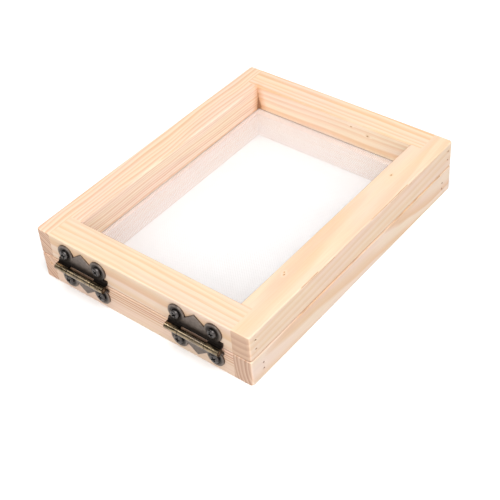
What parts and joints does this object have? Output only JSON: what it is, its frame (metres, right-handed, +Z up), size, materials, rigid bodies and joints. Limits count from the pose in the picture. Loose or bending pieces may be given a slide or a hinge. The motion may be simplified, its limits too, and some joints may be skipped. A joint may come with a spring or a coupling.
{
  "type": "hinged screen frame",
  "caption": "Pair of flat wooden frames hinged along one short end, with a fine mesh stretched on the lower frame and closed between them.",
  "frame": {"origin": "centre of the bounding box, on the bench plane", "axes": "+Z up; +Y along the long sides, from the hinged end to the free end; +X along the short sides, to the right seen from the hinged end"},
  "size_m": [0.139, 0.1852, 0.0324],
  "materials": {
    "pine": "bare sanded pine",
    "antique_bronze": "antique bronze plating, worn bright on the barrels",
    "screw_bronze": "antique bronze plating",
    "steel_wire": "bright drawn wire",
    "mesh": "white woven polyester monofilament"
  },
  "bodies": {
    "mould": {"mould_left_rail": "pine", "mould_right_rail": "pine", "mould_hinge_end_rail": "pine", "mould_far_end_rail": "pine", "mould_left_brads": "steel_wire", "mould_right_brads": "steel_wire", "left_hinge_lower_leaf": "antique_bronze", "left_hinge_lower_screws": "screw_bronze", "right_hinge_lower_leaf": "antique_bronze", "right_hinge_lower_screws": "screw_bronze", "mesh_screen": "mesh", "mesh_staples": "steel_wire"},
    "deckle": {"deckle_left_rail": "pine", "deckle_right_rail": "pine", "deckle_hinge_end_rail": "pine", "deckle_far_end_rail": "pine", "deckle_left_brads": "steel_wire", "deckle_right_brads": "steel_wire", "left_hinge_upper_leaf": "antique_bronze", "left_hinge_upper_screws": "screw_bronze", "right_hinge_upper_leaf": "antique_bronze", "right_hinge_upper_screws": "screw_bronze", "left_hinge_pin": "screw_bronze", "right_hinge_pin": "screw_bronze"}
  },
  "joints": [
    {"name": "deckle_hinge", "type": "hinge", "parent": "mould", "child": "deckle", "pos_m": [0, -0.09085, 0.0167], "axis": [1, 0, 0], "range_deg": [0, 180]}
  ]
}
